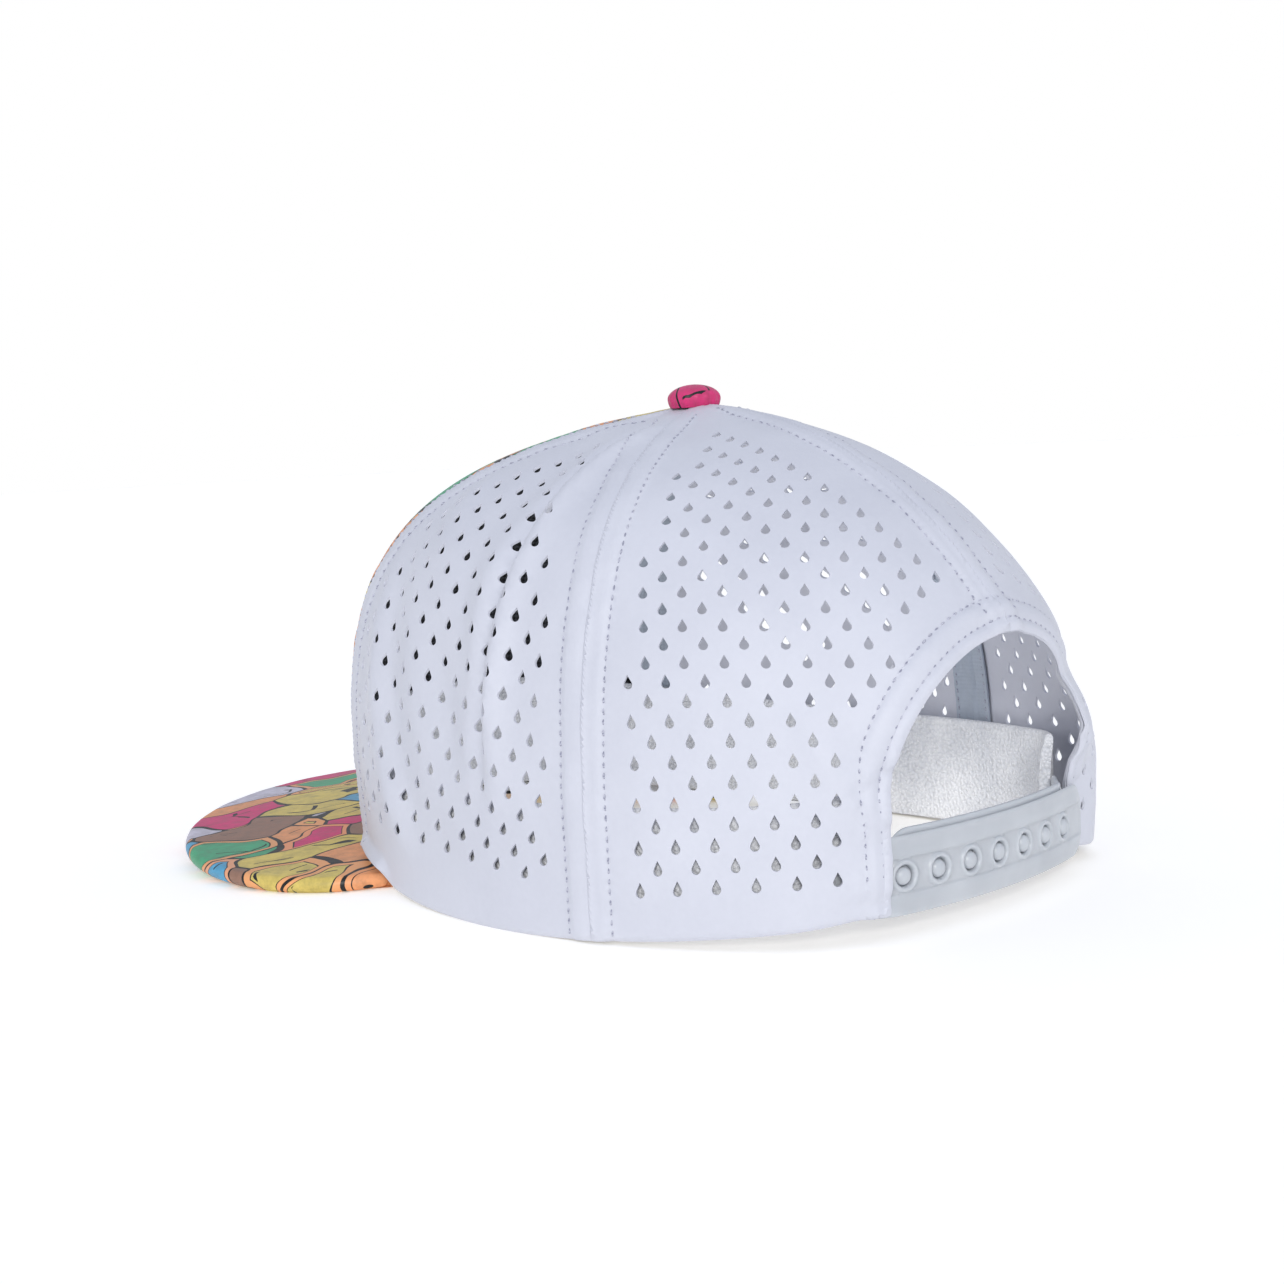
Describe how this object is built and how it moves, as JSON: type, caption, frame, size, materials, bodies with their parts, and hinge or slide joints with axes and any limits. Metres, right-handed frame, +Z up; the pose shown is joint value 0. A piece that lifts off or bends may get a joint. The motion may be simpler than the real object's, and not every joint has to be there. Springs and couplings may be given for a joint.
{
  "type": "snapback cap",
  "caption": "Structured snapback cap with perforated cloth sides, a flat covered brim, an inner sweatband and an arched back opening closed by a peg-and-hole plastic strap.",
  "frame": {"origin": "middle of the cap's length and width, on the plane that the brim and the rim rest on", "axes": "+Z up, -Y out along the brim, +X towards the wearer's left"},
  "size_m": [0.1702, 0.2556, 0.1189],
  "materials": {
    "white_cloth": "smooth polyester with teardrop perforations",
    "printed_cloth": "smooth polyester with a many-coloured abstract print",
    "buckram": "stiff charcoal open weave",
    "lining_tape": "matte woven tape",
    "terry": "soft looped pile",
    "brim_plastic": "satin sheet",
    "strap_plastic": "milky translucent, satin",
    "button_steel": "satin"
  },
  "bodies": {
    "crown": {"front_panel": "printed_cloth", "front_buckram": "buckram", "side_panel_left": "white_cloth", "side_panel_right": "white_cloth", "back_panel_left": "white_cloth", "back_panel_right": "white_cloth", "seam_tape_front_left": "lining_tape", "seam_tape_front_right": "lining_tape", "seam_tape_rear_left": "lining_tape", "seam_tape_rear_right": "lining_tape", "seam_tape_back": "lining_tape", "opening_binding": "white_cloth", "sweatband": "terry", "brim_top_cover": "printed_cloth", "brim_board": "brim_plastic", "brim_under_cover": "printed_cloth", "button_cover": "printed_cloth", "button_shell": "button_steel", "button_prong": "button_steel", "strap_outer_root": "strap_plastic", "strap_inner_root": "strap_plastic"},
    "outer_band": {"strap_outer": "strap_plastic"},
    "inner_band": {"strap_inner": "strap_plastic"}
  },
  "joints": [
    {"name": "outer_band_swing", "type": "hinge", "parent": "crown", "child": "outer_band", "pos_m": [0.0342, 0.11995, 0.0134], "axis": [0, 0, -1], "range_deg": [0, 70]},
    {"name": "inner_band_swing", "type": "hinge", "parent": "crown", "child": "inner_band", "pos_m": [-0.0342, 0.11572, 0.0134], "axis": [0, 0, -1], "range_deg": [0, 40]}
  ]
}
